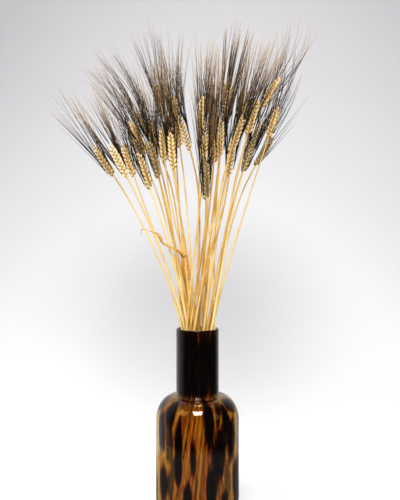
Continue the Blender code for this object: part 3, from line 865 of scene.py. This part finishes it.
# Dried leaf blade: papery and darker than the straw, amber with brown veins and a few dark specks.
LEAF_VEIN = 2.2 * MM
LEAF_SPECK = 1.2 * MM
leaf_finish, tree, surface = new_finish("dried_leaf")
place = add(tree, "ShaderNodeTexCoord").outputs["Object"]
vein = add(tree, "ShaderNodeTexNoise", {"Vector": place, "Scale": 1 / LEAF_VEIN, "Detail": 4.0}).outputs[0]
speck = add(tree, "ShaderNodeTexNoise", {"Vector": place, "Scale": 1 / LEAF_SPECK, "Detail": 1.0}).outputs[0]
shade = add(tree, "ShaderNodeValToRGB", {0: vein},
            stops=((0.3, "#8a5518"), (0.45, "#c98a2e"), (0.6, "#e2ac4f"), (0.75, "#f0cb7c"))).outputs[0]
dark = add(tree, "ShaderNodeMapRange", {"Value": speck, "From Min": 0.66, "From Max": 0.7}).outputs[0]
shade = add(tree, "ShaderNodeMix", {0: dark, 6: shade, 7: linear("#3d240c")}, data_type="RGBA").outputs[2]
tree.links.new(shade, surface.inputs["Base Color"])
creased = add(tree, "ShaderNodeBump", {"Height": vein, "Strength": 0.5, "Distance": 0.3 * MM})
tree.links.new(creased.outputs[0], surface.inputs["Normal"])
surface.inputs["Roughness"].default_value = 0.6

leaf_line = next(stalk.line for stalk in stalks if stalk.name == LEAF_STALK)
blade = smooth_route([LEAF_ROOT] + [Vector(point[:3]) * MM for point in LEAF_ROUTE], LEAF_STEPS)
radii = [SHEATH_RADIUS] + [point[3] * MM for point in LEAF_ROUTE]
blade_radii = []
for k in range(len(blade)):
    n, step = divmod(k, LEAF_STEPS)
    here, ahead = radii[n], radii[min(n + 1, len(radii) - 1)]
    blade_radii.append(here + (ahead - here) * step / LEAF_STEPS)
below = max(k for k, centre in enumerate(leaf_line) if centre.z < LEAF_ROOT.z - 1 * MM)
sheath_top = leaf_line[below + 1]
down = (leaf_line[below] - sheath_top).normalized()
sheath = [sheath_top + down * SHEATH_LENGTH * k / SHEATH_RINGS for k in range(SHEATH_RINGS + 1)]
sheath_radii = [SHEATH_RADIUS * (SHEATH_FLARE - SHEATH_TAPER * k / SHEATH_RINGS)
                for k in range(SHEATH_RINGS + 1)]
places, faces, along = [], [], []
add_roll(places, faces, along, blade, blade_radii, LEAF_TWIST)
add_roll(places, faces, along, sheath, sheath_radii, 0)
leaf_mesh = bpy.data.meshes.new("dried_leaf")
leaf_mesh.from_pydata(places, [], faces)
leaf_mesh.attributes.new("along", "FLOAT", "POINT").data.foreach_set("value", along)
leaf_mesh.materials.append(leaf_finish)
leaf_mesh.shade_smooth()
leaf = add_object("dried_leaf", leaf_mesh)
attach(leaf, "root")
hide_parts(LEAF_STALK)


# Bottle vase
# A heavy bottle of mouth-blown glass: dark brown chips were rolled into clear amber glass, and drawn
# out to long spots as it was blown. The neck is almost black, and the lip is fire-polished.
VASE_HEIGHT = 300 * MM
BODY_RADIUS = 66 * MM
NECK_RADIUS = 34 * MM
SHOULDER_TOP = 194 * MM
SHOULDER_DROP = 38 * MM
BODY_TOP = SHOULDER_TOP - SHOULDER_DROP
BASE_CORNER = (20 * MM, 36 * MM)
GLASS = 3.6 * MM
FLOOR = 7 * MM
ROOT_FILLET = 3 * MM
SHOULDER_WIDTH = BODY_RADIUS - NECK_RADIUS - ROOT_FILLET
WALL_STEPS = 8
ARC_TURNS = [math.radians(turn) for turn in range(0, 91, 5)]
FILLET_TURNS = [math.radians(turn) for turn in range(15, 91, 15)]
LIP_TURNS = [math.radians(turn) for turn in range(15, 166, 15)]
TURN_STEPS = 128


def wall_outside():
    """The wall's outer line, as (radius, height) from the base's centre up to below the lip."""
    corner_r, corner_h = BASE_CORNER
    neck_foot = SHOULDER_TOP + ROOT_FILLET
    neck_length = VASE_HEIGHT - GLASS / 2 - SHOULDER_TOP - ROOT_FILLET
    line = [(0, 0)]
    for turn in ARC_TURNS:
        line.append((BODY_RADIUS - corner_r * (1 - math.sin(turn)), corner_h * (1 - math.cos(turn))))
    for k in range(1, WALL_STEPS):
        line.append((BODY_RADIUS, corner_h + (BODY_TOP - corner_h) * k / WALL_STEPS))
    for turn in ARC_TURNS:
        line.append((BODY_RADIUS - SHOULDER_WIDTH * (1 - math.cos(turn)),
                     SHOULDER_TOP - SHOULDER_DROP * (1 - math.sin(turn))))
    for turn in FILLET_TURNS:
        line.append((NECK_RADIUS + ROOT_FILLET * (1 - math.sin(turn)),
                     SHOULDER_TOP + ROOT_FILLET * (1 - math.cos(turn))))
    for k in range(1, WALL_STEPS + 1):
        line.append((NECK_RADIUS, neck_foot + neck_length * k / WALL_STEPS))
    return line


def wall_section():
    """The whole section of the wall, up the outside, over the lip and down the inside."""
    outside = wall_outside()
    lip = GLASS / 2
    top = []
    for turn in LIP_TURNS:
        top.append((NECK_RADIUS - lip * (1 - math.cos(turn)), VASE_HEIGHT - lip * (1 - math.sin(turn))))
    inside = []
    for k in range(2, len(outside)):
        before, here, after = outside[k - 1], outside[k], outside[min(k + 1, len(outside) - 1)]
        run, rise = after[0] - before[0], after[1] - before[1]
        step = math.hypot(run, rise)
        inside.append((here[0] - GLASS * rise / step, here[1] + GLASS * run / step))
    inside = [(r, max(h, FLOOR)) for r, h in inside if h > FLOOR / 2]
    return outside + top + inside[::-1] + [(0, FLOOR)]


# Each chip of dark glass: degrees round from the front, and in millimetres how far up the wall it lies,
# its half width and its half length. Those in front lie as the object's own do, and the rest are strewn
# at random behind, as far apart as there is room for.
FRONT_CHIPS = (
    (-41, 179, 8.5, 18), (-27, 139, 6.0, 29), (-26, 96, 5.0, 20), (16, 168, 7.2, 29), (31, 114, 9.0, 33),
    (43, 168, 6.5, 18), (68, 186, 17, 12), (54, 134, 7.0, 26), (68, 66, 11, 30), (19, 66, 6.5, 22),
    (-56, 143, 8.5, 23), (-82, 186, 15, 14), (82, 128, 9, 42), (84, 44, 9, 27), (-82, 42, 8, 30),
    (-5, 118, 4.0, 30), (-53, 70, 9.0, 28), (-14, 50, 6.5, 22), (40, 40, 7.0, 20), (-34, 28, 7.0, 18),
)
BACK_CHIPS = 26
BACK_SPANS = ((82, 278), (20 * MM, 196 * MM), (5 * MM, 9 * MM), (15 * MM, 30 * MM))
BACK_GAP = 0.92
LEAST_GAP = 0.1
GAP_STEP = 0.002
SHOULDER_RUN = (SHOULDER_WIDTH + SHOULDER_DROP) / 2


def run_up_wall(place):
    """How far up the wall a point lies, measured along the body, over the shoulder and up the neck."""
    if place.z < BODY_TOP:
        return place.z
    if place.z > SHOULDER_TOP:
        return BODY_TOP + SHOULDER_RUN * math.pi / 2 + place.z - SHOULDER_TOP
    out = max(0, math.hypot(place.x, place.y) - NECK_RADIUS - ROOT_FILLET)
    turn = math.atan2((place.z - BODY_TOP) / SHOULDER_DROP, out / SHOULDER_WIDTH)
    return BODY_TOP + SHOULDER_RUN * turn


def inside_chip(chip, angle, run):
    """One at a chip's middle, zero on its edge and below zero outside it."""
    middle, height, half_width, half_length = chip
    off = (angle - middle + 180) % 360 - 180
    return 1 - math.hypot(math.radians(off) * BODY_RADIUS / half_width, (run - height) / half_length)


draw = random.Random("back chips")
chips = [(angle, *(size * MM for size in sizes)) for angle, *sizes in FRONT_CHIPS]
gap = BACK_GAP
while len(chips) < len(FRONT_CHIPS) + BACK_CHIPS:
    chip = tuple(draw.uniform(*span) for span in BACK_SPANS)
    if max(inside_chip(other, *chip[:2]) for other in chips) < -gap:
        chips.append(chip)
    else:
        gap = max(LEAST_GAP, gap - GAP_STEP)

# Tortoiseshell glass: clear amber soda glass, smooth as water, with brown-black chips drawn out in it
# that let next to no light through. IOR 1.5 gives the bright, sharp reflections.
STREAK_WIDTH = 4 * MM
STREAK_LENGTH = 45 * MM
CURL_SCALE = 0.35
EDGE_RAGGED = 1.1
EDGE_CURLED = 1.6
CHIP_EDGE = (0.9, 1.6)
NECK_BLEED = 26 * MM
BLEED_SPAN = (0.85, 0.2)
PASSED_GAMMA = 0.5
glass, tree, surface = new_finish("tortoiseshell_glass")
place = add(tree, "ShaderNodeTexCoord").outputs["Object"]
spot = add(tree, "ShaderNodeSeparateXYZ", {0: place})
flat = add(tree, "ShaderNodeVectorMath", {0: place, 1: (1, 1, 0)}, operation="MULTIPLY").outputs[0]
way = add(tree, "ShaderNodeVectorMath", {0: flat}, operation="NORMALIZE").outputs[0]
way = add(tree, "ShaderNodeVectorMath", {0: way, "Scale": BODY_RADIUS / STREAK_WIDTH},
          operation="SCALE").outputs[0]
height = add(tree, "ShaderNodeMath", {0: spot.outputs[2], 1: 1 / STREAK_LENGTH},
             operation="MULTIPLY").outputs[0]
rise = add(tree, "ShaderNodeCombineXYZ", {0: 0.0, 1: 0.0, 2: height}).outputs[0]
wall = add(tree, "ShaderNodeVectorMath", {0: way, 1: rise}, operation="ADD").outputs[0]
streak = add(tree, "ShaderNodeTexNoise", {"Vector": wall, "Scale": 1.0, "Detail": 3.0}).outputs[0]
chip = add(tree, "ShaderNodeAttribute", attribute_name="chip").outputs["Fac"]
curl = add(tree, "ShaderNodeTexNoise", {"Vector": wall, "Scale": CURL_SCALE, "Detail": 2.0}).outputs[0]
ragged = chip
for pattern, share in ((streak, EDGE_RAGGED), (curl, EDGE_CURLED)):
    ragged = add(tree, "ShaderNodeMath", {0: pattern, 1: share, 2: ragged},
                 operation="MULTIPLY_ADD").outputs[0]
depth = add(tree, "ShaderNodeMapRange", {
    "Value": ragged, "From Min": CHIP_EDGE[0], "From Max": CHIP_EDGE[1]}).outputs[0]
stain = add(tree, "ShaderNodeValToRGB", {0: depth},
            stops=((0.0, "#ffffff"), (0.35, "#b58a50"), (0.55, "#4a2a12"), (0.8, "#180c05"))).outputs[0]
body = add(tree, "ShaderNodeValToRGB", {0: streak},
           stops=((0.3, "#a88238"), (0.5, "#cfa852"), (0.7, "#e4c274"))).outputs[0]
amber = add(tree, "ShaderNodeMix", {0: 1.0, 6: body, 7: stain},
            data_type="RGBA", blend_type="MULTIPLY").outputs[2]
# The neck's dark glass runs down into the shoulder in streaks.
rise = add(tree, "ShaderNodeMath", {0: streak, 1: -NECK_BLEED, 2: spot.outputs[2]},
           operation="MULTIPLY_ADD").outputs[0]
in_neck = add(tree, "ShaderNodeMapRange", {
    "Value": rise, "From Min": SHOULDER_TOP - BLEED_SPAN[0] * NECK_BLEED,
    "From Max": SHOULDER_TOP - BLEED_SPAN[1] * NECK_BLEED}).outputs[0]
neck = add(tree, "ShaderNodeValToRGB", {0: streak},
           stops=((0.48, "#1a0b05"), (0.6, "#4a240c"), (0.72, "#a05c1c"))).outputs[0]
shade = add(tree, "ShaderNodeMix", {0: in_neck, 6: amber, 7: neck}, data_type="RGBA").outputs[2]
tree.links.new(shade, surface.inputs["Base Color"])
surface.inputs["Transmission Weight"].default_value = 1.0
surface.inputs["Roughness"].default_value = 0.015
surface.inputs["IOR"].default_value = 1.5
# Light from the lamps goes on through the wall, tinted, and reaches the straws inside.
passed = add(tree, "ShaderNodeGamma", {0: shade, 1: PASSED_GAMMA}).outputs[0]
clear = add(tree, "ShaderNodeBsdfTransparent", {0: passed}).outputs[0]
is_shadow = add(tree, "ShaderNodeLightPath").outputs["Is Shadow Ray"]
whole = add(tree, "ShaderNodeMixShader", {0: is_shadow, 1: surface.outputs[0], 2: clear}).outputs[0]
tree.links.new(whole, tree.nodes["Material Output"].inputs["Surface"])

points = wall_section()[::-1]
vase_mesh = bpy.data.meshes.new("glass_vase")
vase_mesh.from_pydata([(r, 0, h) for r, h in points], [(k, k + 1) for k in range(len(points) - 1)], [])
vase_mesh.materials.append(glass)
vase = add_object("glass_vase", vase_mesh)
turned = vase.modifiers.new("turned", "SCREW")
turned.steps = turned.render_steps = TURN_STEPS
turned.use_merge_vertices = True
turned.merge_threshold = 0.01 * MM
turned.use_smooth_shade = True
make_plain([vase])
darkness = []
for vertex in vase.data.vertices:
    angle = math.degrees(math.atan2(vertex.co.x, -vertex.co.y))
    run = run_up_wall(vertex.co)
    darkness.append(max(-1, max(inside_chip(chip, angle, run) for chip in chips)))
vase.data.attributes.new("chip", "FLOAT", "POINT").data.foreach_set("value", darkness)
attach(vase, "root")
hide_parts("vase")
